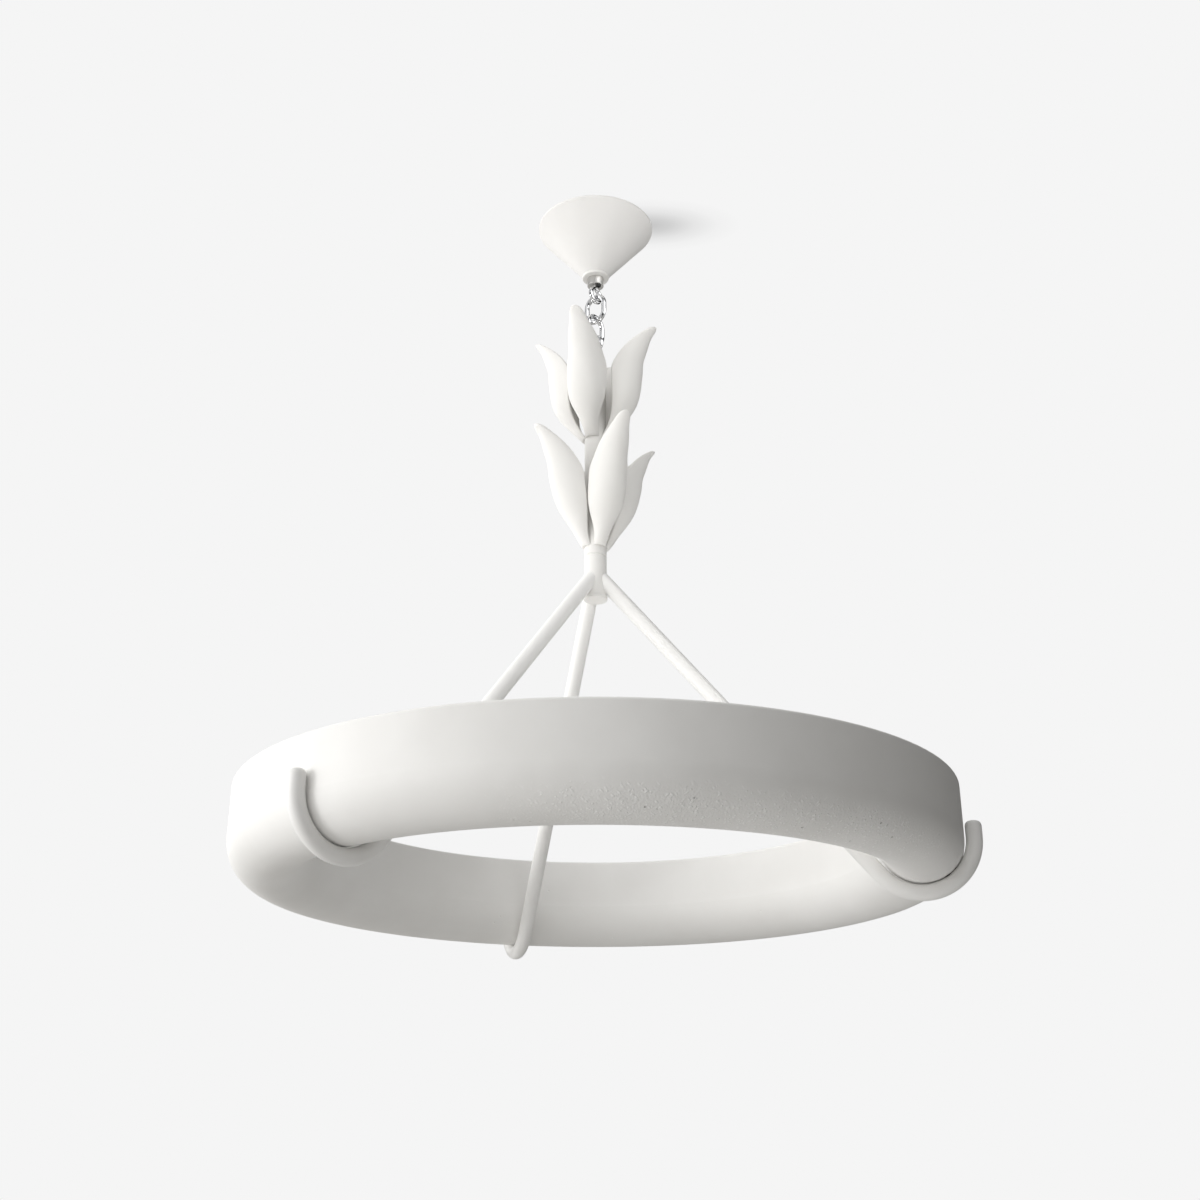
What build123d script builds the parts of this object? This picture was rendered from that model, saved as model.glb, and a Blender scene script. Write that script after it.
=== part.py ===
from build123d import *

import os
from math import asin, atan2, cos, degrees, hypot, radians, sin, sqrt

# A plaster ring light that hangs from the ceiling. The origin is the middle of the ceiling plate's
# upper face, which lies on the ceiling. +Z is up, and -Y faces the viewer. Lengths are in millimetres.

# Ceiling plate and the threaded tube that hangs from it
plate_radius = 63.0
plate_thickness = 2.5
screw_hole_radius = 2.75
screw_hole_spacing = 90.0
mains_hole_radius = 6.0
mains_hole_offset = 46.0
nipple_radius = 5.0
nipple_wall = 1.5
nut_across_flats = 16.0
nut_height = 5.0
thread_overhang = 0.5

# Canopy: cone, collar and nozzle
canopy_radius = 75.0
canopy_height = 74.0
canopy_foot_radius = 16.5
canopy_wall = 3.0
canopy_rim_height = 3.0
canopy_floor = 4.0
collar_radius = 17.3
collar_height = 4.0
nozzle_radius = 10.6
nozzle_length = 11.5
nozzle_wall = 2.0
nozzle_floor = 4.0
nozzle_thread_depth = 4.0

# Terminal block and driver under the plate
terminal_length = 34.0
terminal_width = 16.0
terminal_height = 13.0
terminal_poles = 3
terminal_screw_radius = 1.7
driver_length = 58.0
driver_width = 24.0
driver_height = 18.0
device_spacing = 13.0

# Eyes and links
eye_radius = 9.5
eye_wire = 6.0
eye_neck = 1.0
shank_radius = 2.5
small_nut_across_flats = 8.0
small_nut_height = 3.0
link_length = 44.0
link_width = 34.0
link_wire = 6.5
chain_turn = 52.0

# Outlets for the supply lead
gland_radius = 2.0
gland_bore_radius = 1.2
gland_flange_radius = 3.0
gland_flange_height = 4.0
canopy_gland_offset = 7.0
canopy_gland_turn = 305.0
stem_gland_offset = 9.4
stem_gland_turn = 35.0

# Stem
stem_radius = 13.5
stem_length = 263.6
stem_neck = 15.5
stem_cap_height = 6.0
stem_boss_radius = 6.6
stem_boss_height = 10.0
stem_pocket_depth = 18.0
seam_chamfer = 1.2

# Leaves
leaf_height = 150.0
upper_leaf_reach = 68.0
lower_leaf_reach = 71.5
upper_leaf_half_width = 25.0
lower_leaf_half_width = 23.3
upper_leaf_fullness = 5.0
lower_leaf_fullness = -2.0
leaf_depth_share = 0.46
leaf_thickness = 7.0
leaf_edge = 5.0
tier_spacing = 147.0
lower_tier_lift = 11.1
upper_leaf_turns = (250.5, 343.5, 73.0, 164.5)
lower_leaf_turns = (297.1, 27.1, 117.1, 207.1)

# Hub
hub_length = 51.5
hub_arm_depth = 20.1
hub_pocket_radius = 9.6
hub_pocket_depth = 10.0
hub_cap_radius = 14.3
hub_cap_height = 5.0
washer_radius = 9.3
washer_thickness = 1.2

# Arms with hooked feet
arm_radius = 8.8
arm_bore_radius = 3.6
back_arm_turn = 106.9
left_arm_turn = 227.6
right_arm_turn = 346.9
spigot_radius = 5.0
spigot_end_reach = 10.5
hook_gap = 2.5
hook_angle = 33.0
hook_tip_length = 17.0
hook_tip_round = 5.5

# Ring and the light in it
ring_radius = 400.0
ring_width = 90.0
ring_height = 103.0
ring_drop = 343.3
ring_wall = 7.0
rim_round = 3.0
diffuser_thickness = 3.0
diffuser_ledge = 3.0
tray_width = 69.4
tray_thickness = 2.0
strip_width = 12.0
strip_thickness = 0.8
chip_count = 60
chip_length = 5.0
chip_width = 3.0
chip_height = 1.4
lead_hole_radius = 3.0
grommet_wall = 1.4
grommet_flange = 2.0

# Fits: threads and pins, pieces that are slipped in, and pieces that rest on each other
thread_fit = 0.05
loose_fit = 0.2
seat_gap = 0.3
cut_overrun = 20.0


def rod(radius, bottom, top):
    """A round bar on the axis between two heights."""
    return Pos(0, 0, (bottom + top) / 2) * Cylinder(radius, top - bottom)


def tube(radius, bore, bottom, top):
    """A pipe on the axis between two heights."""
    return rod(radius, bottom, top) - rod(bore, bottom - cut_overrun, top + cut_overrun)


def turned(points):
    """The solid that a closed outline of (radius, height) points sweeps round the axis."""
    outline = make_face(Polyline([(r, 0, z) for r, z in points], close=True))
    return revolve(outline, Axis.Z)


def nut(across_flats, bottom, height, bore):
    """A hexagon nut on the axis."""
    hexagon = RegularPolygon(across_flats / 2, 6, major_radius=False)
    body = Pos(0, 0, bottom) * extrude(hexagon - Circle(bore), height)
    return body


# Heights, worked out from the ceiling down
plate_bottom = -plate_thickness
canopy_bottom = -canopy_height
collar_bottom = canopy_bottom - collar_height
nozzle_bottom = collar_bottom - nozzle_length
nozzle_floor_top = nozzle_bottom + nozzle_floor
nipple_bottom = collar_bottom - nozzle_thread_depth
canopy_eye_height = nozzle_bottom - eye_neck - eye_radius - eye_wire / 2

# The links hang in each other with a small gap at each touching place
link_bend_radius = (link_width - link_wire) / 2
link_wire_spacing = link_length - link_wire
eye_to_link = eye_radius - (eye_wire + link_wire) / 2 - seat_gap
upper_link_top = canopy_eye_height - eye_to_link
upper_link_bottom = upper_link_top - link_wire_spacing
lower_link_top = upper_link_bottom + link_wire + seat_gap
lower_link_bottom = lower_link_top - link_wire_spacing
stem_eye_height = lower_link_bottom - eye_to_link
upper_link_pivot = upper_link_top - link_bend_radius
lower_link_pivot = lower_link_top - link_bend_radius

stem_cap_top = stem_eye_height - eye_radius - eye_wire / 2 - stem_neck
stem_top = stem_cap_top - stem_cap_height
stem_bottom = stem_top - stem_length
hub_bottom = stem_bottom - hub_length
hub_nut_bottom = hub_bottom + hub_pocket_depth - washer_thickness - nut_height
lower_tier_base = stem_bottom + lower_tier_lift
upper_tier_base = lower_tier_base + tier_spacing
arm_start_height = stem_bottom - hub_arm_depth

# The ring's round bottom has its centre line here, and the hook's bend is a little wider than it
ring_bend_radius = ring_width / 2
ring_bend_reach = ring_radius - ring_bend_radius
ring_bend_height = arm_start_height - ring_drop
ring_top = ring_bend_height + ring_height - ring_bend_radius
hook_inner_radius = ring_bend_radius + hook_gap
hook_radius = hook_inner_radius + arm_radius
hook_offset = hook_gap - seat_gap
hook_reach = ring_bend_reach - hook_offset * sin(radians(hook_angle))
hook_height = ring_bend_height + hook_offset * cos(radians(hook_angle))

# Each arm runs straight from the axis to where its line touches the hook's bend
hub_to_hook = hypot(hook_reach, arm_start_height - hook_height)
arm_slope = degrees(
    atan2(arm_start_height - hook_height, hook_reach) + asin(hook_radius / hub_to_hook)
)
arm_direction = Vector(cos(radians(arm_slope)), 0, -sin(radians(arm_slope)))
arm_start = Vector(0, 0, arm_start_height)


# Ceiling side
def make_ceiling_plate():
    plate = tube(plate_radius, nipple_radius + thread_fit, plate_bottom, 0)
    for side in (-1, 1):
        hole = rod(screw_hole_radius, plate_bottom - cut_overrun, cut_overrun)
        plate -= Pos(side * screw_hole_spacing / 2, 0, 0) * hole
    mains = rod(mains_hole_radius, plate_bottom - cut_overrun, cut_overrun)
    return plate - gland_place(mains_hole_offset, canopy_gland_turn) * mains


def make_centre_nipple():
    return tube(nipple_radius, nipple_radius - nipple_wall, nipple_bottom, -plate_thickness / 2)


def make_lock_nut():
    return nut(nut_across_flats, plate_bottom - nut_height, nut_height, nipple_radius + thread_fit)


def make_terminal_block():
    base = Box(terminal_length, terminal_width, terminal_height)
    block = fillet(base.edges().filter_by(Axis.Z), terminal_width / 8)
    pitch = terminal_length / terminal_poles
    for gap in range(1, terminal_poles):
        groove = Box(pitch / 6, terminal_width + cut_overrun, terminal_height / 2)
        block -= Pos(gap * pitch - terminal_length / 2, 0, -terminal_height / 2) * groove
    well = Cylinder(terminal_screw_radius + thread_fit, terminal_height)
    for place in terminal_screw_places():
        block -= place * Pos(0, 0, -terminal_height / 2) * well
    return terminal_place() * block


def terminal_place():
    middle = -(device_spacing + terminal_width / 2)
    return Pos(0, middle, plate_bottom - terminal_height / 2)


def terminal_screw_places():
    return GridLocations(
        terminal_length / terminal_poles, terminal_width / 2, terminal_poles, 2
    )


def make_terminal_screws():
    length = terminal_height / 3
    screw = Pos(0, 0, -length / 2) * Cylinder(terminal_screw_radius, length)
    places = terminal_screw_places()
    return Compound(children=[terminal_place() * place * screw for place in places])


def make_led_driver():
    case = Box(driver_length, driver_width, driver_height)
    case = fillet(case.edges().filter_by(Axis.Z), driver_width / 8)
    case = chamfer(case.faces().sort_by(Axis.Z)[0].edges(), driver_height / 12)
    return Pos(0, device_spacing + driver_width / 2, plate_bottom - driver_height / 2) * case


def make_canopy_cone():
    slope = (canopy_radius - canopy_foot_radius) / (canopy_height - canopy_rim_height)
    wall_across = canopy_wall * sqrt(1 + slope**2)
    floor_top = canopy_bottom + canopy_floor
    foot_inside = canopy_foot_radius + slope * canopy_floor - wall_across
    hole = nipple_radius + seat_gap
    inner_rim_height = -canopy_rim_height + (wall_across - canopy_wall) / slope
    shell = turned(
        [
            (canopy_radius, 0),
            (canopy_radius, -canopy_rim_height),
            (canopy_foot_radius, canopy_bottom),
            (hole, canopy_bottom),
            (hole, floor_top),
            (foot_inside, floor_top),
            (canopy_radius - canopy_wall, inner_rim_height),
            (canopy_radius - canopy_wall, 0),
        ]
    )
    rim_edges = shell.edges().group_by(Axis.Z)[-1]
    outer_rim = rim_edges.sort_by(SortBy.LENGTH)[-1]
    return fillet(outer_rim, canopy_wall / 3)


def make_canopy_collar():
    ring = tube(collar_radius, nipple_radius + thread_fit, collar_bottom, canopy_bottom)
    outer = ring.edges().filter_by(GeomType.CIRCLE).sort_by(SortBy.LENGTH)[-2:]
    return fillet(outer, collar_height / 3)


def make_canopy_nozzle():
    body = rod(nozzle_radius, nozzle_bottom, collar_bottom)
    foot = body.edges().sort_by(Axis.Z)[0]
    body = fillet(foot, nozzle_wall / 2)
    body -= rod(nipple_radius + thread_fit, nipple_bottom, collar_bottom + cut_overrun)
    body -= rod(nozzle_radius - nozzle_wall, nozzle_floor_top, nipple_bottom)
    body -= rod(shank_radius + thread_fit, nozzle_bottom - cut_overrun, nozzle_floor_top)
    outlet = rod(gland_radius + thread_fit, nozzle_bottom - cut_overrun, nozzle_floor_top)
    return body - gland_place(canopy_gland_offset, canopy_gland_turn) * outlet


def gland_place(offset, turn):
    return Rot(0, 0, turn) * Pos(offset, 0, 0)


def make_loop_nut():
    return nut(small_nut_across_flats, nozzle_floor_top, small_nut_height, shank_radius + thread_fit)


def eye(height, shank_bottom, shank_top):
    """A round eye in an upright plane, with its threaded shank above or below it."""
    ring = Pos(0, 0, height) * Rot(90, 0, 0) * Torus(eye_radius, eye_wire / 2)
    return ring + rod(shank_radius, shank_bottom, shank_top)


def make_canopy_loop():
    shank_top = nozzle_floor_top + small_nut_height
    loop = eye(canopy_eye_height, canopy_eye_height + eye_radius, shank_top)
    neck = rod(eye_wire / 2, canopy_eye_height + eye_radius, nozzle_bottom)
    return Rot(0, 0, chain_turn) * (loop + neck)


def make_canopy_gland():
    flange_bottom = nozzle_bottom - gland_flange_height
    body = rod(gland_radius, nozzle_bottom, nozzle_floor_top)
    flange = rod(gland_flange_radius, flange_bottom, nozzle_bottom)
    rim = flange.edges().sort_by(Axis.Z)[0]
    flange = fillet(rim, gland_radius / 2)
    bush = body + flange
    bush -= rod(gland_bore_radius, flange_bottom - cut_overrun, nozzle_floor_top + cut_overrun)
    return gland_place(canopy_gland_offset, canopy_gland_turn) * bush


# Chain
def link(top, turn):
    """An oval link in an upright plane, hanging from the height of its upper wire."""
    bend = top - link_bend_radius
    foot = top - link_wire_spacing + link_bend_radius
    side = link_bend_radius
    route = Wire(
        [
            Line((side, 0, foot), (side, 0, bend)),
            ThreePointArc((side, 0, bend), (0, 0, top), (-side, 0, bend)),
            Line((-side, 0, bend), (-side, 0, foot)),
            ThreePointArc((-side, 0, foot), (0, 0, top - link_wire_spacing), (side, 0, foot)),
        ]
    )
    section = Plane(origin=(side, 0, foot), z_dir=(0, 0, 1)) * Circle(link_wire / 2)
    return Rot(0, 0, turn) * sweep(section, path=route)


def make_upper_link():
    return link(upper_link_top, chain_turn + 90)


def make_lower_link():
    return link(lower_link_top, chain_turn)


# Stem
def make_stem_loop():
    shank_bottom = stem_top - small_nut_height
    loop = eye(stem_eye_height, shank_bottom, stem_eye_height - eye_radius)
    neck = rod(eye_wire / 2, stem_cap_top, stem_eye_height - eye_radius)
    return Rot(0, 0, chain_turn + 90) * (loop + neck)


def make_stem_loop_nut():
    bottom = stem_top - small_nut_height
    return nut(small_nut_across_flats, bottom, small_nut_height, shank_radius + thread_fit)


def make_stem_cap():
    cap = rod(stem_radius, stem_top, stem_cap_top)
    cap = fillet(cap.edges().sort_by(Axis.Z)[-1], stem_cap_height / 3)
    boss_bottom = stem_top - stem_boss_height
    cap += rod(stem_boss_radius, boss_bottom, stem_top)
    cap -= rod(shank_radius + thread_fit, stem_top, stem_cap_top + cut_overrun)
    cap -= rod(nipple_radius + thread_fit, boss_bottom - cut_overrun, stem_top)
    outlet = rod(gland_radius + thread_fit, stem_top - cut_overrun, stem_cap_top + cut_overrun)
    return cap - gland_place(stem_gland_offset, stem_gland_turn) * outlet


def make_stem_gland():
    flange_top = stem_cap_top + gland_flange_height / 2
    body = rod(gland_radius, stem_top, stem_cap_top)
    flange = rod(gland_flange_radius, stem_cap_top, flange_top)
    flange = fillet(flange.edges().sort_by(Axis.Z)[-1], gland_radius / 2)
    bush = body + flange
    bush -= rod(gland_bore_radius, stem_top - cut_overrun, flange_top + cut_overrun)
    return gland_place(stem_gland_offset, stem_gland_turn) * bush


def make_stem_rod():
    top = stem_top - small_nut_height - thread_overhang
    bottom = hub_nut_bottom - thread_overhang
    pipe = tube(nipple_radius, nipple_radius - nipple_wall, bottom, top)
    lead_way = Cylinder(gland_radius, 2 * nipple_radius)
    side_hole = Rot(0, 0, stem_gland_turn) * Pos(nipple_radius, 0, 0) * Rot(0, 90, 0) * lead_way
    pipe -= Pos(0, 0, stem_top - (stem_boss_height + stem_pocket_depth) / 2) * side_hole
    return pipe - lead_way_to_wired_arm()


def make_stem():
    body = tube(stem_radius, nipple_radius + loose_fit, stem_bottom, stem_top)
    pocket_radius = stem_gland_offset + gland_radius + thread_fit
    body -= rod(pocket_radius, stem_top - stem_pocket_depth, stem_top + cut_overrun)
    foot = body.edges().group_by(Axis.Z)[0].sort_by(SortBy.LENGTH)[-1]
    return chamfer(foot, seam_chamfer)


# Leaves, the piece that takes the most skill: a deep, thick-walled petal that clasps the stem with
# its root, fills out and curls outwards to a blunt point. It is lofted through level sections.
# Each section: how far up it lies, how far out its back reaches, its width, depth and wall, and how
# much it takes of the tier's extra fullness.
leaf_section_shares = (
    (0.000, 0.050, 0.330, 0.19, 0.50, 0.00),
    (0.070, 0.165, 0.400, 0.29, 0.75, 0.35),
    (0.150, 0.285, 0.540, 0.42, 0.90, 0.80),
    (0.280, 0.480, 0.870, 0.70, 1.00, 1.00),
    (0.430, 0.615, 1.000, 0.91, 1.00, 0.60),
    (0.610, 0.695, 0.980, 1.00, 1.00, 0.15),
    (0.765, 0.765, 0.810, 0.78, 0.95, 0.00),
    (0.880, 0.850, 0.590, 0.50, 0.90, 0.00),
    (0.955, 0.935, 0.400, 0.28, 0.85, 0.00),
    (0.985, 0.978, 0.290, 0.18, 0.65, 0.00),
    (1.000, 0.985, 0.150, 0.09, 0.30, 0.00),
)


def leaf_section(leaf_reach, leaf_half_width, leaf_fullness, shares):
    """One level slice of a leaf that points along +X: a thick half-oval shell with round edges."""
    height, reach, width, depth, wall, fullness = shares
    half_width = leaf_half_width * width
    back = stem_radius + leaf_reach * reach + leaf_fullness * fullness
    sag = leaf_reach * leaf_depth_share * depth
    inner_sag = max(sag - leaf_thickness * wall, sag / 8)
    inner_half_width = max(half_width - leaf_edge * wall, half_width / 8)
    middle = back - sag
    outer = EllipticalCenterArc((middle, 0), sag, half_width, -90, arc_size=180)
    inner = EllipticalCenterArc((middle, 0), inner_sag, inner_half_width, -90, arc_size=180)
    edge_bulge = (half_width - inner_half_width) / 2
    edge_middle = (half_width + inner_half_width) / 2
    near = ThreePointArc(inner @ 0, (middle - edge_bulge, -edge_middle), outer @ 0)
    far = ThreePointArc(outer @ 1, (middle - edge_bulge, edge_middle), inner @ 1)
    outline = make_face([near.edge(), outer.edge(), far.edge(), inner.edge()])
    return Pos(0, 0, leaf_height * height) * outline


def make_leaf(leaf_reach, leaf_half_width, leaf_fullness):
    blade = loft(
        [
            leaf_section(leaf_reach, leaf_half_width, leaf_fullness, shares)
            for shares in leaf_section_shares
        ]
    )
    seat = rod(stem_radius + thread_fit, -leaf_height, 2 * leaf_height)
    return blade - seat


def place_leaf(leaf, base, turn):
    return Pos(0, 0, base) * Rot(0, 0, turn) * leaf


# Hub
def make_hub():
    body = tube(stem_radius, nipple_radius + loose_fit, hub_bottom, stem_bottom)
    top_edge = body.edges().group_by(Axis.Z)[-1].sort_by(SortBy.LENGTH)[-1]
    body = chamfer(top_edge, seam_chamfer)
    body -= rod(hub_pocket_radius, hub_bottom - cut_overrun, hub_bottom + hub_pocket_depth)
    socket = along_arm(spigot_radius + thread_fit, spigot_end_reach - seat_gap, 2 * stem_radius)
    for turn in (back_arm_turn, left_arm_turn, right_arm_turn):
        body -= Rot(0, 0, turn) * socket
    return body - lead_way_to_wired_arm()


def make_hub_washer():
    top = hub_bottom + hub_pocket_depth
    return tube(washer_radius, nipple_radius + loose_fit, top - washer_thickness, top)


def make_hub_nut():
    return nut(nut_across_flats, hub_nut_bottom, nut_height, nipple_radius + thread_fit)


def make_hub_cap():
    disc = rod(hub_cap_radius, hub_bottom - hub_cap_height, hub_bottom)
    disc = fillet(disc.edges(), hub_cap_height / 4)
    lip_top = hub_nut_bottom - thread_overhang - seat_gap
    return disc + rod(hub_pocket_radius - thread_fit, hub_bottom, lip_top)


# Arms
def along_arm(radius, start_reach, end_reach):
    """A round bar on the line of the arm that points along +X, between two distances from the axis."""
    start = arm_start + arm_direction * (start_reach / arm_direction.X)
    length = (end_reach - start_reach) / arm_direction.X
    section = Plane(origin=start, z_dir=arm_direction) * Circle(radius)
    return extrude(section, length, dir=arm_direction)


def lead_way_to_wired_arm():
    """The drilling from the stem's tube to the right arm, which carries the leads to the ring."""
    return Rot(0, 0, right_arm_turn) * along_arm(gland_radius, 0, spigot_end_reach)


def on_hook(angle, radius):
    """The point at that angle from the hook's lowest place, counted towards the outside."""
    return Vector(
        hook_reach + radius * sin(radians(angle)), 0, hook_height - radius * cos(radians(angle))
    )


def arm_route(start, end_angle, tip_length):
    """The arm's centre line: straight to the hook's bend, round it, and up beside the ring."""
    first = on_hook(-arm_slope, hook_radius)
    last = on_hook(end_angle, hook_radius)
    middle = on_hook((end_angle - arm_slope) / 2, hook_radius)
    runs = [Line(start, first), ThreePointArc(first, middle, last)]
    if tip_length:
        runs.append(Line(last, last + Vector(0, 0, tip_length)))
    return Wire(runs)


def make_arm(turn, wired=False):
    section = Plane(origin=arm_start, z_dir=arm_direction) * Circle(arm_radius)
    body = sweep(section, path=arm_route(arm_start, 90, hook_tip_length))
    tip = on_hook(90, hook_radius) + Vector(0, 0, hook_tip_length)
    tip_edge = body.edges().filter_by(GeomType.CIRCLE).sort_by_distance(tip)[0]
    body = fillet(tip_edge, hook_tip_round)
    body -= rod(stem_radius + thread_fit, hub_bottom - stem_length, stem_bottom + stem_length)
    body += along_arm(spigot_radius, spigot_end_reach, stem_radius + arm_radius)
    bore_section = Plane(origin=arm_start, z_dir=arm_direction) * Circle(arm_bore_radius)
    body -= sweep(bore_section, path=arm_route(arm_start, hook_angle, 0))
    if wired:
        body -= lead_hole(hook_radius, hook_inner_radius - arm_radius)
    return Rot(0, 0, turn) * body


def lead_hole(far_radius, near_radius, radius=lead_hole_radius):
    """A round bar through the hook towards the ring's middle, for the leads."""
    start = on_hook(hook_angle, far_radius)
    toward = Vector(-sin(radians(hook_angle)), 0, cos(radians(hook_angle)))
    section = Plane(origin=start, z_dir=toward) * Circle(radius)
    return extrude(section, far_radius - near_radius, dir=toward)


# Ring
def trough_outline(inset, top):
    """The U-shaped section of the ring, drawn inwards by a wall: straight sides and a round bottom."""
    bend = ring_bend_radius - inset
    left = ring_bend_reach - bend
    right = ring_bend_reach + bend
    low = (ring_bend_reach, 0, ring_bend_height - bend)
    return make_face(
        [
            Line((left, 0, top), (left, 0, ring_bend_height)),
            ThreePointArc((left, 0, ring_bend_height), low, (right, 0, ring_bend_height)),
            Line((right, 0, ring_bend_height), (right, 0, top)),
            Line((right, 0, top), (left, 0, top)),
        ]
    )


def make_ring_trough():
    body = revolve(trough_outline(0, ring_top), Axis.Z)
    rims = body.edges().group_by(Axis.Z)[-1]
    body = fillet(rims, rim_round)
    body -= revolve(trough_outline(ring_wall, ring_top + cut_overrun), Axis.Z)
    ledge_inner = ring_radius - ring_width + ring_wall - diffuser_ledge
    ledge_outer = ring_radius - ring_wall + diffuser_ledge
    ledge_bottom = ring_top - diffuser_thickness - 2 * seat_gap
    body -= tube(ledge_outer, ledge_inner, ledge_bottom, ring_top + cut_overrun)
    hole = lead_hole(hook_inner_radius, ring_bend_radius - 2 * ring_wall, grommet_radius())
    return body - Rot(0, 0, right_arm_turn) * hole


def grommet_radius():
    return lead_hole_radius + grommet_wall


def make_floor_grommet():
    neck_radius = grommet_radius() - thread_fit
    flange_radius = grommet_radius() + grommet_flange
    outside = sqrt(ring_bend_radius**2 - neck_radius**2)
    inside = sqrt((ring_bend_radius - ring_wall) ** 2 - flange_radius**2)
    neck = lead_bar(outside, inside, neck_radius)
    flange = lead_bar(inside, inside - grommet_flange, flange_radius)
    bore = lead_bar(ring_bend_radius, 0, lead_hole_radius)
    return Rot(0, 0, right_arm_turn) * (neck + flange - bore)


def lead_bar(far_radius, near_radius, radius):
    """A round bar towards the middle of the ring's bend, between two distances from that middle."""
    toward = Vector(-sin(radians(hook_angle)), 0, cos(radians(hook_angle)))
    middle = Vector(ring_bend_reach, 0, ring_bend_height)
    section = Plane(origin=middle - toward * far_radius, z_dir=toward) * Circle(radius)
    return extrude(section, far_radius - near_radius, dir=toward)


def make_diffuser():
    inner = ring_radius - ring_width + ring_wall - diffuser_ledge + loose_fit
    outer = ring_radius - ring_wall + diffuser_ledge - loose_fit
    bottom = ring_top - diffuser_thickness - seat_gap
    return tube(outer, inner, bottom, bottom + diffuser_thickness)


def tray_bottom():
    """The tray's lower edges rest on the round floor inside the ring."""
    floor_radius = ring_bend_radius - ring_wall
    return ring_bend_height - sqrt(floor_radius**2 - (tray_width / 2) ** 2) + seat_gap


def make_led_tray():
    inner = ring_bend_reach - tray_width / 2
    outer = ring_bend_reach + tray_width / 2
    return tube(outer, inner, tray_bottom(), tray_bottom() + tray_thickness)


def make_led_strip():
    bottom = tray_bottom() + tray_thickness
    inner = ring_bend_reach - strip_width / 2
    return tube(inner + strip_width, inner, bottom, bottom + strip_thickness)


def make_led_chips():
    middle = tray_bottom() + tray_thickness + strip_thickness + chip_height / 2
    chip = Pos(ring_bend_reach, 0, middle) * Box(chip_width, chip_length, chip_height)
    return Compound(children=[Rot(0, 0, n * 360 / chip_count) * chip for n in range(chip_count)])


nodes = {
    "ceiling_plate": make_ceiling_plate(),
    "centre_nipple": make_centre_nipple(),
    "lock_nut": make_lock_nut(),
    "terminal_block": make_terminal_block(),
    "terminal_screws": make_terminal_screws(),
    "led_driver": make_led_driver(),
    "canopy_cone": make_canopy_cone(),
    "canopy_collar": make_canopy_collar(),
    "canopy_nozzle": make_canopy_nozzle(),
    "loop_nut": make_loop_nut(),
    "canopy_loop": make_canopy_loop(),
    "canopy_gland": make_canopy_gland(),
    "upper_link": make_upper_link(),
    "lower_link": make_lower_link(),
    "stem_loop": make_stem_loop(),
    "stem_loop_nut": make_stem_loop_nut(),
    "stem_cap": make_stem_cap(),
    "stem_gland": make_stem_gland(),
    "stem_rod": make_stem_rod(),
    "stem": make_stem(),
    "hub": make_hub(),
    "hub_washer": make_hub_washer(),
    "hub_nut": make_hub_nut(),
    "hub_cap": make_hub_cap(),
    "arm_back": make_arm(back_arm_turn),
    "arm_left": make_arm(left_arm_turn),
    "arm_right": make_arm(right_arm_turn, wired=True),
    "ring_trough": make_ring_trough(),
    "floor_grommet": make_floor_grommet(),
    "diffuser": make_diffuser(),
    "led_tray": make_led_tray(),
    "led_strip": make_led_strip(),
    "led_chips": make_led_chips(),
}

upper_leaf = make_leaf(upper_leaf_reach, upper_leaf_half_width, upper_leaf_fullness)
for number, turn in enumerate(upper_leaf_turns, 1):
    nodes[f"upper_leaf_{number}"] = place_leaf(upper_leaf, upper_tier_base, turn)

lower_leaf = make_leaf(lower_leaf_reach, lower_leaf_half_width, lower_leaf_fullness)
for number, turn in enumerate(lower_leaf_turns, 1):
    nodes[f"lower_leaf_{number}"] = place_leaf(lower_leaf, lower_tier_base, turn)

os.makedirs("parts", exist_ok=True)
for name, shape in nodes.items():
    export_step(shape, f"parts/{name}.step")

print("upper link pivot", round(upper_link_pivot, 3))
print("lower link pivot", round(lower_link_pivot, 3))
print("stem eye", round(stem_eye_height, 3), "stem top", round(stem_top, 3))
print("seam", round(stem_bottom, 3), "hub bottom", round(hub_bottom, 3))
print("arm slope", round(arm_slope, 3), "ring top", round(ring_top, 3))
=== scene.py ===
# %% [markdown]
# # A plaster ring chandelier
#
# The lamp hangs from the ceiling: a cone canopy, two chain links, a stem dressed with two tiers of
# leaves, and three arms whose hooked feet carry a wide plaster ring. The measured model comes in
# first, as a fixed frame in metres with the ceiling at height zero. Everything made below is placed
# in that frame, so nothing has to be fitted by eye.

# %% Load the measured frame
import bpy
from math import cos, degrees, pi, radians, sin
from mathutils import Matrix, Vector


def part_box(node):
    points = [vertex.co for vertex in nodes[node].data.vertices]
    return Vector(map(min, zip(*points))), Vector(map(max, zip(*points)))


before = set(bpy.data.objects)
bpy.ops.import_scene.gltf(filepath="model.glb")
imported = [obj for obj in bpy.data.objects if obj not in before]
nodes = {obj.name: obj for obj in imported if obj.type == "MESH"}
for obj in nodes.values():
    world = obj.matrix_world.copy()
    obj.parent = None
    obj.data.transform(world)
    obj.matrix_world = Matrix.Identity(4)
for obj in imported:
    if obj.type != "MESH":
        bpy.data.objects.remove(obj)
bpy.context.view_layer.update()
print("pieces in the frame:", len(nodes))

# %% [markdown]
# ## How a finish starts
#
# A real surface is never one flat colour, so each finish is a small network of nodes. A picture of
# plaster could be wrapped round the pieces instead, but it would need a seam on every piece. Here
# every pattern reads the piece's own coordinates, in metres: it goes right through the piece, and
# it stays there when the piece swings or is seen from behind.

# %% Start a finish
def new_finish(name):
    """A material with its shader, and the node tree to add to."""
    finish = bpy.data.materials.new(name)
    finish.use_nodes = True
    tree = finish.node_tree
    shader = tree.nodes["Principled BSDF"]
    return finish, tree, shader


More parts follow.
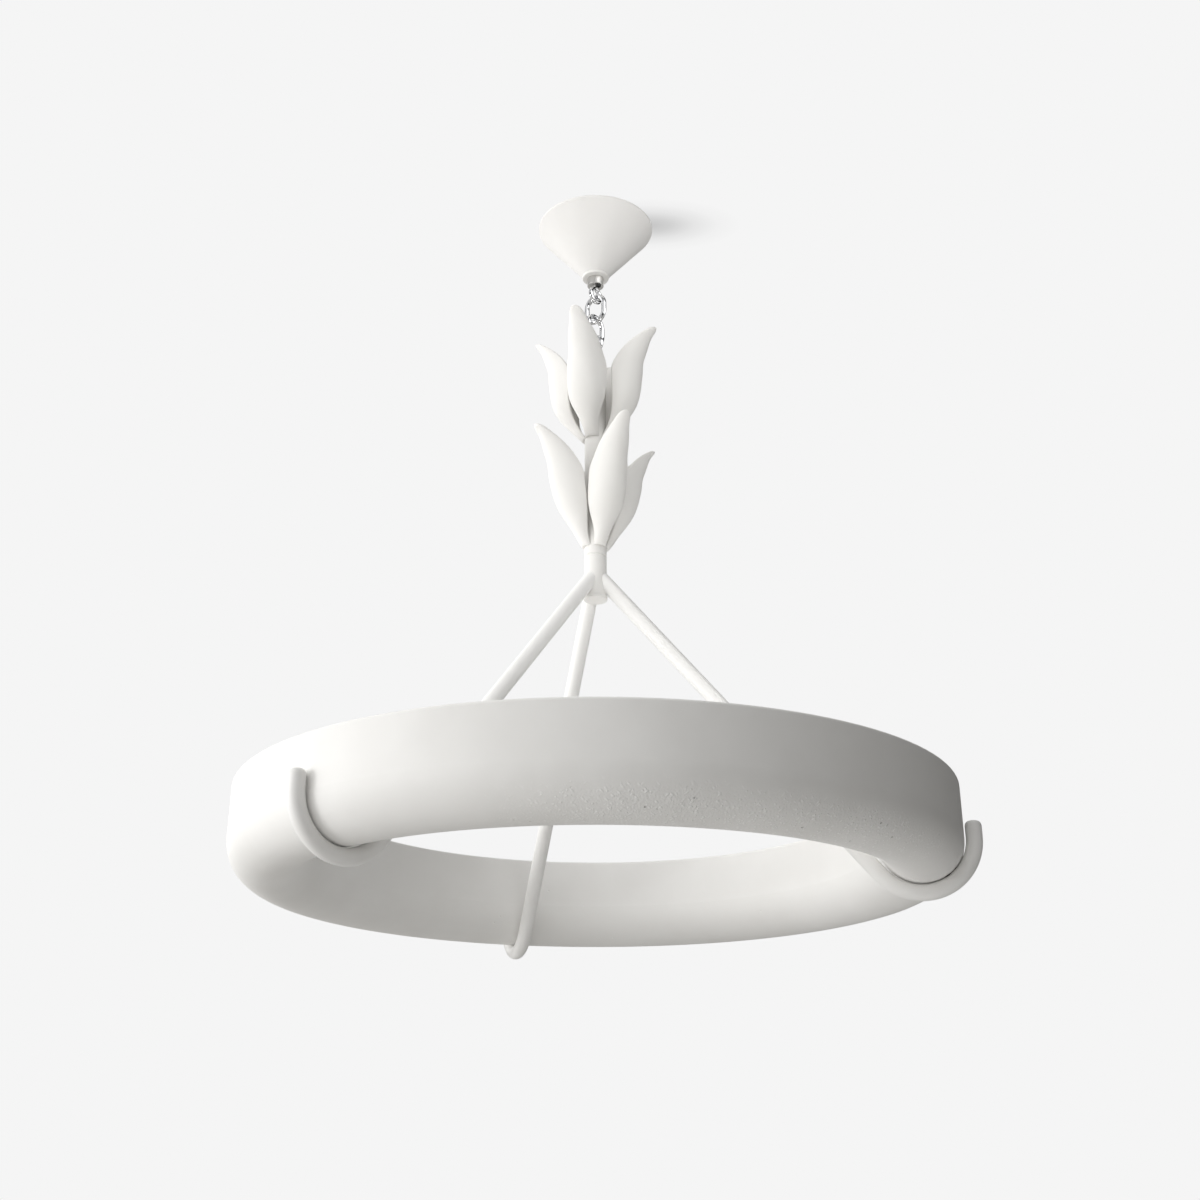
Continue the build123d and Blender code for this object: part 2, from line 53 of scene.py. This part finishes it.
def own_coordinates(tree, stretch=(1, 1, 1)):
    """The piece's own coordinates, in metres, stretched if the grain is."""
    place = tree.nodes.new("ShaderNodeTexCoord")
    mapping = tree.nodes.new("ShaderNodeMapping")
    mapping.inputs["Scale"].default_value = stretch
    tree.links.new(place.outputs["Object"], mapping.inputs["Vector"])
    return mapping.outputs["Vector"]


print("helpers ready: new_finish, own_coordinates")

# %% [markdown]
# ## Clouds and ramps
#
# Two nodes do most of the work. A cloud is a soft random pattern with values between zero and one,
# and a ramp turns such a value into a colour or a number by a few stops. Put together they let a
# colour or a roughness drift over the surface, as it does on every real coat.

# %% Clouds, ramps and drifts
def cloud(tree, where, scale, detail=3.0, roughness=0.5):
    """A soft random pattern, so many patches to the metre."""
    noise = tree.nodes.new("ShaderNodeTexNoise")
    noise.inputs["Scale"].default_value = scale
    noise.inputs["Detail"].default_value = detail
    noise.inputs["Roughness"].default_value = roughness
    tree.links.new(where, noise.inputs["Vector"])
    return noise.outputs["Fac"]


def ramp(tree, value, stops):
    """Turns a value into a colour by a few (place, colour) stops. A plain number means a grey."""
    stops = [(place, tone if isinstance(tone, tuple) else (tone,) * 3) for place, tone in stops]
    band = tree.nodes.new("ShaderNodeValToRGB")
    band.color_ramp.elements[0].position = stops[0][0]
    band.color_ramp.elements[0].color = (*stops[0][1], 1)
    band.color_ramp.elements[1].position = stops[-1][0]
    band.color_ramp.elements[1].color = (*stops[-1][1], 1)
    for place, tone in stops[1:-1]:
        band.color_ramp.elements.new(place).color = (*tone, 1)
    tree.links.new(value, band.inputs["Fac"])
    return band.outputs["Color"]


def drift(tree, where, scale, low, high, socket):
    """Lets a socket drift slowly between two colours or two numbers."""
    tone = ramp(tree, cloud(tree, where, scale), [(0.3, low), (0.7, high)])
    tree.links.new(tone, socket)


print("helpers ready: cloud, ramp, drift")

# %% [markdown]
# ## Arithmetic, relief and wear
#
# Patterns are added and multiplied as heights, and a bump node turns the sum into relief. Relief
# made of real faces would be heavier by far, and on this lamp it is all under a millimetre. The
# last helper gives a finish to pieces of the frame by their names.

# %% Arithmetic, bump and wear
def math_node(tree, operation, *values):
    """One step of arithmetic between two or three values."""
    step = tree.nodes.new("ShaderNodeMath")
    step.operation = operation
    for socket, value in zip(step.inputs, values):
        if isinstance(value, (int, float)):
            socket.default_value = value
        else:
            tree.links.new(value, socket)
    return step.outputs["Value"]


def bump(tree, shader, height, distance, strength=1.0):
    """Raises the surface by the height pattern, at most the distance in metres."""
    relief = tree.nodes.new("ShaderNodeBump")
    relief.inputs["Strength"].default_value = strength
    relief.inputs["Distance"].default_value = distance
    tree.links.new(height, relief.inputs["Height"])
    tree.links.new(relief.outputs["Normal"], shader.inputs["Normal"])


def wear(finish, *names):
    """Gives the finish to the named pieces of the frame."""
    for name in names:
        slots = nodes[name].data.materials
        slots.clear()
        slots.append(finish)
    print(finish.name, "on:", ", ".join(names))


plaster_relief = 0.001
print("plaster relief in metres, at most:", plaster_relief)

# %% [markdown]
# ## Pits in plaster
#
# Air bubbles in the wet plaster open as small round pits when it is sanded. A cell pattern has one
# middle point in each cell, so a short ramp around that point makes a dent. Each cell also has a
# random colour, and only cells with little red in it get their dent. That sets how rare pits are.

# %% Pits
def pits(tree, where, per_metre, share, size=0.16):
    """Small round dents, minus one at the bottom and zero elsewhere, in a share of the cells."""
    cells = tree.nodes.new("ShaderNodeTexVoronoi")
    cells.inputs["Scale"].default_value = per_metre
    tree.links.new(where, cells.inputs["Vector"])
    dent = ramp(tree, cells.outputs["Distance"], [(size / 3, 1), (size, 0)])
    lot = tree.nodes.new("ShaderNodeSeparateColor")
    tree.links.new(cells.outputs["Color"], lot.inputs["Color"])
    chosen = math_node(tree, "LESS_THAN", lot.outputs["Red"], share)
    return math_node(tree, "MULTIPLY", math_node(tree, "MULTIPLY", dent, chosen), -1.0)


pits_per_metre = 130.0
print("one cell for a pit is", round(1000 / pits_per_metre, 1), "mm wide")

# %% [markdown]
# ## Plaster
#
# The ring, the leaves, the stem and the canopy are cast or coated in white plaster. It is matt, a
# little warm, and faintly cloudy, because the coat dries unevenly. Sanding leaves it smooth with
# a low ripple. The ripple, the grain and the pits are bump, since they are far too shallow to
# change the outline. One function makes every plaster, and only the numbers differ.

# %% Plaster
def plaster_finish(name, light, shade, ripple, grain, pit_share):
    """A plaster with its relief still open, so that more can be added before the bump."""
    finish, tree, shader = new_finish(name)
    where = own_coordinates(tree)
    tone = ramp(tree, cloud(tree, where, 9.0, 4.0), [(0.35, shade), (0.65, light)])
    tree.links.new(tone, shader.inputs["Base Color"])
    shader.inputs["Specular IOR Level"].default_value = 0.25
    drift(tree, where, 60.0, 0.72, 0.86, shader.inputs["Roughness"])
    waves = math_node(tree, "MULTIPLY", cloud(tree, where, 22.0, 2.0), ripple)
    sand = math_node(tree, "MULTIPLY", cloud(tree, where, 900.0, 2.0), grain)
    height = math_node(tree, "ADD", waves, sand)
    bubbles = pits(tree, where, pits_per_metre, pit_share)
    height = math_node(tree, "MULTIPLY_ADD", bubbles, 0.5, height)
    return finish, tree, shader, where, height


smooth_relief = {"ripple": 0.4, "grain": 0.006, "pit_share": 0.01}
print("smooth plaster:", smooth_relief)

# %% [markdown]
# ## Leaves, stem and hub
#
# These were cast in moulds and rubbed smooth by hand. Their shapes come from the measured model,
# with the rolled lips and the pointed tips, so here they only need their plaster.

# %% Plaster on leaves, stem and hub
smooth_plaster, tree, shader, where, height = plaster_finish(
    "smooth_plaster", (0.800, 0.789, 0.766), (0.770, 0.759, 0.734), **smooth_relief
)
bump(tree, shader, height, plaster_relief)
upright_pieces = ["canopy_collar", "stem_cap", "stem", "hub", "hub_cap"]
leaves = [f"{tier}_leaf_{n}" for tier in ("upper", "lower") for n in (1, 2, 3, 4)]
wear(smooth_plaster, *upright_pieces, *leaves)

# %% [markdown]
# ## Canopy
#
# The cone at the ceiling has the same smooth coat, but it looks a shade greyer. A slightly greyer
# copy of the plaster paints that in as shade, in place of less light on the cone.

# %% Plaster on the canopy
# Painted shade: the canopy gets a greyer copy of the smooth plaster.
canopy_plaster_painted_shade, tree, shader, where, height = plaster_finish(
    "canopy_plaster_painted_shade", (0.785, 0.774, 0.756), (0.760, 0.749, 0.731), **smooth_relief
)
bump(tree, shader, height, plaster_relief)
wear(canopy_plaster_painted_shade, "canopy_cone")

# %% [markdown]
# ## The arms' coat
#
# The arms are bent steel tubes. They are as white as the plaster, but smoother: along the back arm
# runs a thin highlight that plaster would never show. So they get a satin coat, with a slow ripple
# where the coat ran, and no pits. A layer of clear varnish could do it too, but a lower roughness
# does the same with one value.

# %% Satin coat on the arms
satin_coat, tree, shader = new_finish("satin_coat")
where = own_coordinates(tree)
drift(tree, where, 11.0, (0.845, 0.838, 0.820), (0.875, 0.868, 0.850), shader.inputs["Base Color"])
shader.inputs["Specular IOR Level"].default_value = 0.35
drift(tree, where, 45.0, 0.34, 0.44, shader.inputs["Roughness"])
bump(tree, shader, cloud(tree, where, 40.0, 1.0), 0.0003, 0.2)
wear(satin_coat, "arm_back", "arm_left", "arm_right")

# %% [markdown]
# ## Tools for the ring's rough band
#
# Low on the ring's near side the coat wasn't sanded as well: there is a fine grit, with pits, and
# short slanted strokes with bright lips. Three more helpers are needed for it. A soft step limits
# the marks to their place, a slant draws dents out into strokes, and a tint colours them.

# %% Soft step, slant and tint
def soft_step(tree, value, low, high):
    """Zero below one value, one above another, and smooth between."""
    step = tree.nodes.new("ShaderNodeMapRange")
    step.interpolation_type = "SMOOTHSTEP"
    step.inputs["From Min"].default_value = low
    step.inputs["From Max"].default_value = high
    tree.links.new(value, step.inputs["Value"])
    return step.outputs["Result"]


def slanted(tree, where, turn, length):
    """The coordinates drawn out along a line that leans by the turn, so dots become strokes."""
    drawn = tree.nodes.new("ShaderNodeMapping")
    drawn.vector_type = "TEXTURE"
    drawn.inputs["Rotation"].default_value = (0.0, turn, 0.0)
    drawn.inputs["Scale"].default_value = (length, 1.0, 1.0)
    tree.links.new(where, drawn.inputs["Vector"])
    return drawn.outputs["Vector"]


def tint(tree, tone, mask, colour):
    """Mixes one colour into the tone where the mask is one."""
    mix = tree.nodes.new("ShaderNodeMix")
    mix.data_type = "RGBA"
    tree.links.new(mask, mix.inputs["Factor"])
    tree.links.new(tone, mix.inputs["A"])
    mix.inputs["B"].default_value = (*colour, 1)
    return mix.outputs["Result"]


stroke_leans = (0.9, -0.8)
print("strokes lean by, in degrees:", [round(degrees(lean)) for lean in stroke_leans])

# %% [markdown]
# ## Where the band lies
#
# The mask is made from the ring's own height and from its X and Y, so it stays there from every
# side. A mask painted by hand would do as well, but it would need an unwrapped ring. The band is
# full below one height and gone above the other, and it fades towards the left and the back.

# %% Ring plaster and the band's mask
band_heights = (-0.868, -0.846)
ring_plaster, tree, shader, where, height = plaster_finish(
    "ring_plaster", (0.855, 0.847, 0.828), (0.820, 0.811, 0.790), 0.7, 0.03, 0.02
)
place = tree.nodes.new("ShaderNodeSeparateXYZ")
tree.links.new(where, place.inputs["Vector"])
off_middle = math_node(tree, "ABSOLUTE", place.outputs["Y"])
low_band = math_node(
    tree, "MULTIPLY",
    math_node(tree, "SUBTRACT", 1.0, soft_step(tree, place.outputs["Z"], *band_heights)),
    soft_step(tree, off_middle, 0.05, 0.15),
)
near_side = math_node(
    tree, "MULTIPLY",
    math_node(tree, "SUBTRACT", 1.0, soft_step(tree, place.outputs["Y"], -0.30, -0.12)),
    soft_step(tree, place.outputs["X"], -0.14, 0.06),
)
rough_band = math_node(tree, "MULTIPLY", low_band, near_side)
print("the rough band ends at height", band_heights[1])

# %% [markdown]
# ## The band's marks
#
# The strokes are the same dents as the pits, drawn out along a slant and raised. A stroke's crest
# gets a painted highlight, a little whiter, and a pit gets painted shade, a little darker. Without
# these tints the marks would be lost in the soft light, which hides low relief on a white wall.

# %% Marks on the ring
dents = pits(tree, where, 140.0, 0.06, 0.2)
strokes = math_node(
    tree, "MINIMUM",
    pits(tree, slanted(tree, where, stroke_leans[0], 3.5), 250.0, 0.6, 0.34),
    pits(tree, slanted(tree, where, stroke_leans[1], 3.0), 280.0, 0.4, 0.34),
)
grains = math_node(tree, "MINIMUM", strokes, pits(tree, where, 230.0, 0.5, 0.28))
grit = math_node(tree, "MULTIPLY_ADD", cloud(tree, where, 420.0, 2.0), 0.6, dents)
marks = math_node(tree, "MULTIPLY_ADD", grains, -0.45, grit)
height = math_node(tree, "MULTIPLY_ADD", marks, rough_band, height)
# Painted highlight: the strokes' crests are made whiter. Painted shade: the pits are made darker.
painted_highlight_mask = math_node(tree, "MULTIPLY", math_node(tree, "MULTIPLY", grains, rough_band), -1.0)
painted_pit_shade_mask = math_node(tree, "MULTIPLY", math_node(tree, "MULTIPLY", dents, rough_band), -0.6)
plain_tone = shader.inputs["Base Color"].links[0].from_socket
painted_highlight_tone = tint(tree, plain_tone, painted_highlight_mask, (0.97, 0.965, 0.95))
painted_shade_tone = tint(tree, painted_highlight_tone, painted_pit_shade_mask, (0.42, 0.40, 0.38))
tree.links.new(painted_shade_tone, shader.inputs["Base Color"])
bump(tree, shader, height, plaster_relief)
wear(ring_plaster, "ring_trough")

# %% [markdown]
# ## Chrome
#
# The eyes and the links are polished and plated. A mirror shows only what is around it, so in a
# white room it looks white with thin dark lines. A faint change of roughness keeps it from looking
# like a perfect computer mirror.

# %% Chrome on eyes and links
chrome, tree, shader = new_finish("polished_chrome")
where = own_coordinates(tree)
drift(tree, where, 150.0, (0.80, 0.81, 0.82), (0.88, 0.88, 0.89), shader.inputs["Base Color"])
drift(tree, where, 400.0, 0.05, 0.12, shader.inputs["Roughness"])
shader.inputs["Metallic"].default_value = 1.0
bump(tree, shader, cloud(tree, where, 120.0, 1.0), 0.0002, 0.1)
wear(chrome, "canopy_loop", "upper_link", "lower_link", "stem_loop", "loop_nut", "stem_loop_nut")

# %% [markdown]
# ## Zinc
#
# Zinc-plated steel carries the weight: the plate, the threaded tubes, the nuts and the washer. They
# show only from above. Zinc grows in small crystals that each shine a little differently, and the
# cell pattern gives just that, which a cloud wouldn't.

# %% Zinc on the inner steel
zinc, tree, shader = new_finish("zinc_plated_steel")
where = own_coordinates(tree)
flakes = tree.nodes.new("ShaderNodeTexVoronoi")
flakes.inputs["Scale"].default_value = 160.0
tree.links.new(where, flakes.inputs["Vector"])
tone = ramp(
    tree, flakes.outputs["Distance"], [(0.0, (0.56, 0.58, 0.60)), (0.8, (0.66, 0.67, 0.69))]
)
tree.links.new(tone, shader.inputs["Base Color"])
drift(tree, where, 300.0, 0.28, 0.42, shader.inputs["Roughness"])
shader.inputs["Metallic"].default_value = 1.0
bump(tree, shader, cloud(tree, where, 800.0), 0.0002, 0.4)
wear(zinc, "ceiling_plate", "centre_nipple", "lock_nut", "stem_rod", "hub_washer", "hub_nut")

# %% [markdown]
# ## Plastics
#
# The terminal block, the driver's case and the black outlets for the lead are moulded plastic, with
# the fine texture of a spark-eroded mould. One function serves them all, because only the colour,
# the grain and the gloss differ.

# %% Plastic on the electric pieces
def moulded_plastic(name, light, dark, grain=1200.0, roughness=(0.45, 0.6)):
    finish, tree, shader = new_finish(name)
    where = own_coordinates(tree)
    drift(tree, where, 120.0, dark, light, shader.inputs["Base Color"])
    drift(tree, where, 260.0, *roughness, shader.inputs["Roughness"])
    bump(tree, shader, cloud(tree, where, grain, 2.0), 0.0002, 0.4)
    return finish


wear(moulded_plastic("black_plastic", 0.016, 0.010), "canopy_gland", "stem_gland", "floor_grommet")
wear(moulded_plastic("terminal_nylon", (0.80, 0.80, 0.77), (0.74, 0.74, 0.71)), "terminal_block")
wear(moulded_plastic("driver_case", (0.83, 0.83, 0.82), (0.78, 0.78, 0.77)), "led_driver")

# %% [markdown]
# ## Brushed and turned metals
#
# The nozzle under the canopy gleams like satin nickel, the terminal's screws are brass, and the
# light's tray is aluminium. Brushing leaves fine lines in one direction. Squeezing the coordinates
# along one axis draws the grain out into such lines, with no extra node.

# %% Nickel, brass and aluminium
def metal_finish(name, light, dark, squeeze, roughness):
    finish, tree, shader = new_finish(name)
    where = own_coordinates(tree, (1, 1, squeeze))
    grain = cloud(tree, where, 600.0, 2.0)
    tree.links.new(ramp(tree, grain, [(0.3, dark), (0.7, light)]), shader.inputs["Base Color"])
    rough = ramp(tree, grain, [(0.3, roughness), (0.7, roughness + 0.12)])
    tree.links.new(rough, shader.inputs["Roughness"])
    shader.inputs["Metallic"].default_value = 1.0
    bump(tree, shader, grain, 0.0001, 0.4)
    return finish


nickel = metal_finish("satin_nickel", (0.70, 0.69, 0.67), (0.60, 0.59, 0.57), 12, 0.35)
brass = metal_finish("brass_screws", (0.78, 0.60, 0.30), (0.66, 0.49, 0.22), 1, 0.25)
aluminium = metal_finish("tray_aluminium", (0.80, 0.81, 0.82), (0.70, 0.71, 0.72), 20, 0.3)
wear(nickel, "canopy_nozzle")
wear(brass, "terminal_screws")
wear(aluminium, "led_tray")

# %% [markdown]
# ## The light
#
# The ring shines upwards. A strip of small yellow chips sits on a metal tray, and an opal plate
# closes the trough and spreads the light. Everything above the ring is a step brighter than the
# ring itself, so the lamp is lit, though not strongly. The plate gets a little glow of its own.

# %% Opal plate, strip and chips
opal, tree, shader = new_finish("opal_plate")
where = own_coordinates(tree)
drift(tree, where, 12.0, (0.86, 0.86, 0.85), (0.89, 0.89, 0.88), shader.inputs["Base Color"])
drift(tree, where, 200.0, 0.34, 0.44, shader.inputs["Roughness"])
bump(tree, shader, cloud(tree, where, 700.0), 0.0001, 0.3)
drift(tree, where, 25.0, (0.97, 0.94, 0.89), (1.0, 0.98, 0.94), shader.inputs["Emission Color"])
shader.inputs["Emission Strength"].default_value = 0.5
wear(opal, "diffuser")

strip_board = moulded_plastic("strip_board", (0.84, 0.84, 0.82), (0.78, 0.78, 0.76))
phosphor = moulded_plastic(
    "led_phosphor", (0.90, 0.72, 0.12), (0.85, 0.66, 0.09), 900.0, (0.3, 0.4)
)
wear(strip_board, "led_strip")
wear(phosphor, "led_chips")

# %% [markdown]
# ## Camera
#
# The photo was taken from below the ring, looking up at it. The camera could be placed by eye, but
# then the ring's curves never quite fit. Here the position, the tilt and the focal length come from
# fitting the ring's edges in the photo.

# %% Camera
camera_tilt = 0.393
camera_data = bpy.data.cameras.new("photo_camera")
camera_data.sensor_width = 36.0
camera_data.lens = 44.106
camera_data.shift_x = 0.00373
camera_data.shift_y = -0.01685
camera_data.clip_start = 0.05
camera_data.clip_end = 60.0
camera = bpy.data.objects.new("photo_camera", camera_data)
camera.location = (0.0, -1.62933, -1.17977)
camera.rotation_euler = (radians(90) + camera_tilt, 0, 0)
bpy.context.scene.collection.objects.link(camera)
bpy.context.scene.camera = camera
print("camera tilt in degrees:", round(degrees(camera_tilt), 2))

# %% [markdown]
# ## Start the world
#
# The world is a network of nodes too. Its parts are backgrounds, each with one colour or a pattern,
# and a choice between two of them that depends on the kind of ray. So what the camera sees, what
# lights dull surfaces and what mirrors show can each be different.

# %% World, backgrounds and the choice
world = bpy.data.worlds.new("pale_room")
world.use_nodes = True
bpy.context.scene.world = world
sky = world.node_tree
sky.nodes.clear()
sky_out = sky.nodes.new("ShaderNodeOutputWorld")
direction = sky.nodes.new("ShaderNodeTexCoord").outputs["Generated"]
path = sky.nodes.new("ShaderNodeLightPath")


def background(colour, strength=1.0):
    """A background of one colour, or of the colours of a pattern."""
    surface = sky.nodes.new("ShaderNodeBackground")
    surface.inputs["Strength"].default_value = strength
    if isinstance(colour, tuple):
        surface.inputs["Color"].default_value = (*colour, 1)
    else:
        sky.links.new(colour, surface.inputs["Color"])
    return surface.outputs["Background"]


def either(choice, no, yes):
    """One shader or the other, as the kind of ray asks."""
    mix = sky.nodes.new("ShaderNodeMixShader")
    sky.links.new(choice, mix.inputs["Fac"])
    sky.links.new(no, mix.inputs[1])
    sky.links.new(yes, mix.inputs[2])
    return mix.outputs["Shader"]


print("world started:", world.name)

# %% [markdown]
# ## Light and surroundings
#
# The photo has one broad soft light from the left and a bright, even background. The camera sees a
# plain pale tone. Dull surfaces are lit by a sky that falls off evenly from the left to the right:
# read along the ring, the photo's shading is close to a straight line across, which only such a sky
# gives. Mirrors see a white room with dark gaps, because chrome that reflects an even sky looks
# like grey paint.

# %% Sky and room
backdrop_tone = 0.913
sky_strength = 1.87
split = sky.nodes.new("ShaderNodeSeparateXYZ")
sky.links.new(direction, split.inputs["Vector"])
across = math_node(sky, "MULTIPLY_ADD", split.outputs["X"], 0.5, 0.5)
soft_sky = ramp(sky, across, [(0.0, 1.0), (0.5, (0.36, 0.358, 0.352)), (0.75, 0.0)])
room_gaps = ramp(
    sky, cloud(sky, direction, 1.7, 1.0), [(0.38, 0.01), (0.43, 0.20), (0.48, 0.55), (0.54, 1.0)]
)
lit = either(
    path.outputs["Is Glossy Ray"], background(soft_sky, sky_strength), background(room_gaps)
)
world_surface = either(path.outputs["Is Camera Ray"], lit, background((backdrop_tone,) * 3))
sky.links.new(world_surface, sky_out.inputs["Surface"])
print("sky strength:", sky_strength, "backdrop:", backdrop_tone)

# %% [markdown]
# ## Lamps
#
# A soft panel on the left sharpens the shadows beside the hooks and the arms. A small soft light
# close under the ceiling fills the right sides of the leaves and the canopy, which in a real room
# the white ceiling does. Two weak ones, in the ring's middle and low on the right, stand for what
# the walls and the floor throw back: they reach the ring's inner wall and its underside, and leave
# the dark outer side dark.

# %% Soft panel and fill lights
def area_light(name, shape, size, energy, place, target):
    """A soft light that no camera sees, aimed at a point."""
    lamp = bpy.data.lights.new(name, "AREA")
    lamp.shape = shape
    lamp.size, lamp.size_y = size
    lamp.energy = energy
    lamp_object = bpy.data.objects.new(name, lamp)
    lamp_object.location = place
    aim = Vector(target) - lamp_object.location
    lamp_object.rotation_euler = aim.to_track_quat("-Z", "Y").to_euler()
    lamp_object.visible_camera = False
    bpy.context.scene.collection.objects.link(lamp_object)
    return lamp_object


room_lights = [
    area_light("soft_panel", "RECTANGLE", (0.9, 0.9), 20.0, (-2.6, -1.2, -0.7), (0, 0, -0.7)),
    area_light("ring_bounce", "DISK", (0.12, 0.12), 0.18, (0.0, 0.0, -0.74), (0, 0, -1.0)),
    area_light("low_bounce", "DISK", (0.3, 0.3), 0.7, (0.35, -0.2, -1.6), (0.35, -0.2, -0.9)),
    area_light("ceiling_fill", "DISK", (0.5, 0.5), 1.3, (0.34, -0.36, -0.04), (0, 0, -0.30)),
]
print("lights in the room:", [light.name for light in room_lights])

# %% [markdown]
# ## The strip's light
#
# Twelve small lights lie on the opal plate and face up, in place of the lamp's own strip: they
# brighten the arms, the leaves and the canopy from below and leave the ring alone. A glowing plate
# alone would need far more samples to look clean. Those on the right are a little stronger, since
# the photo's right arm is the brightest.

# %% Lights on the plate
plate_width = 0.074
plate_low, plate_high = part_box("diffuser")
plate_middle = plate_high[0] - plate_width / 2
strip_lights = 12
strip_watts = 2.0
for number in range(strip_lights):
    turn = 2 * pi * number / strip_lights
    spot = (plate_middle * cos(turn), plate_middle * sin(turn), plate_high[2] + 0.001)
    watts = strip_watts * (1 + 0.4 * cos(turn)) / strip_lights
    strip_light = area_light(
        f"strip_glow_{number + 1}", "RECTANGLE", (0.07, 0.18), watts, spot, (*spot[:2], 1.0)
    )
    strip_light.rotation_euler = (pi, 0, turn)
print("lights on the plate:", strip_lights, "at radius", round(plate_middle, 3))

# %% [markdown]
# ## Shade on the ceiling
#
# The photo's ceiling is as white as its background, but the canopy leaves a soft shade on it, to
# the right. A whole ceiling would hide the lamp from above. Instead one small pane lies on the
# ceiling. It is clear, except for a soft oval that dims what is behind it.

# %% Ceiling shade
def flat_sheet(name, low, high, height):
    """One level face between two corners."""
    outline = [(low[0], low[1]), (high[0], low[1]), (high[0], high[1]), (low[0], high[1])]
    mesh = bpy.data.meshes.new(name)
    mesh.from_pydata([(*corner, height) for corner in outline], [], [(0, 1, 2, 3)])
    sheet = bpy.data.objects.new(name, mesh)
    bpy.context.scene.collection.objects.link(sheet)
    return sheet


ceiling_shade = flat_sheet("ceiling_shade", (-0.05, -0.08), (0.24, 0.08), 0.001)
shade_finish = bpy.data.materials.new("soft_shade")
shade_finish.use_nodes = True
shade_tree = shade_finish.node_tree
shade_tree.nodes.clear()
oval = shade_tree.nodes.new("ShaderNodeMapping")
oval.vector_type = "TEXTURE"
oval.inputs["Location"].default_value = (0.068, -0.008, 0.001)
oval.inputs["Scale"].default_value = (0.125, 0.058, 1.0)
shade_place = shade_tree.nodes.new("ShaderNodeTexCoord")
shade_tree.links.new(shade_place.outputs["Object"], oval.inputs["Vector"])
away = shade_tree.nodes.new("ShaderNodeVectorMath")
away.operation = "LENGTH"
shade_tree.links.new(oval.outputs["Vector"], away.inputs[0])
dimming = ramp(
    shade_tree, away.outputs["Value"],
    [(0.0, 0.60), (0.25, 0.70), (0.5, 0.86), (0.75, 0.96), (1.0, 1.0)],
)
clear_pane = shade_tree.nodes.new("ShaderNodeBsdfTransparent")
shade_tree.links.new(dimming, clear_pane.inputs["Color"])
shade_out = shade_tree.nodes.new("ShaderNodeOutputMaterial")
shade_tree.links.new(clear_pane.outputs["BSDF"], shade_out.inputs["Surface"])
ceiling_shade.data.materials.append(shade_finish)
print("ceiling shade, metres:", [round(v, 3) for v in ceiling_shade.dimensions])

# %% [markdown]
# ## Floor
#
# A pale floor lies under the lamp. The photo doesn't reach down to it, but it throws light up. Its
# tone is painted shade: it gets darker to the right, so that the ring's right side can stay as dark
# as in the photo. One wide face is enough: a curved backdrop would stand in the way when the lamp is
# seen from behind.

# %% Floor
floor_reach = 5.0
floor = flat_sheet("floor", (-floor_reach, -floor_reach), (floor_reach, floor_reach), -1.9)
floor_finish, tree, shader = new_finish("pale_floor")
where = own_coordinates(tree)
split = tree.nodes.new("ShaderNodeSeparateXYZ")
tree.links.new(where, split.inputs["Vector"])
# Painted shade: the floor's tone gets darker towards the right, as falling light would make it.
across = math_node(tree, "MULTIPLY_ADD", split.outputs["X"], 0.25, 0.42)
painted_shade_across = math_node(tree, "MULTIPLY_ADD", cloud(tree, where, 1.5), 0.16, across)
tone = ramp(tree, painted_shade_across, [(0.1, (0.70, 0.69, 0.67)), (0.8, (0.42, 0.415, 0.405))])
tree.links.new(tone, shader.inputs["Base Color"])
shader.inputs["Roughness"].default_value = 0.9
floor.data.materials.append(floor_finish)
print("floor, metres:", [round(v, 3) for v in floor.dimensions])

# %% [markdown]
# ## Colours as they are
#
# A film-like view would press the whites together, and this lamp is white on white. The plain view
# keeps each tone as it was set, so the render can be compared with the photo grey by grey.

# %% View
bpy.context.scene.view_settings.view_transform = "Standard"
print("view:", bpy.context.scene.view_settings.view_transform)
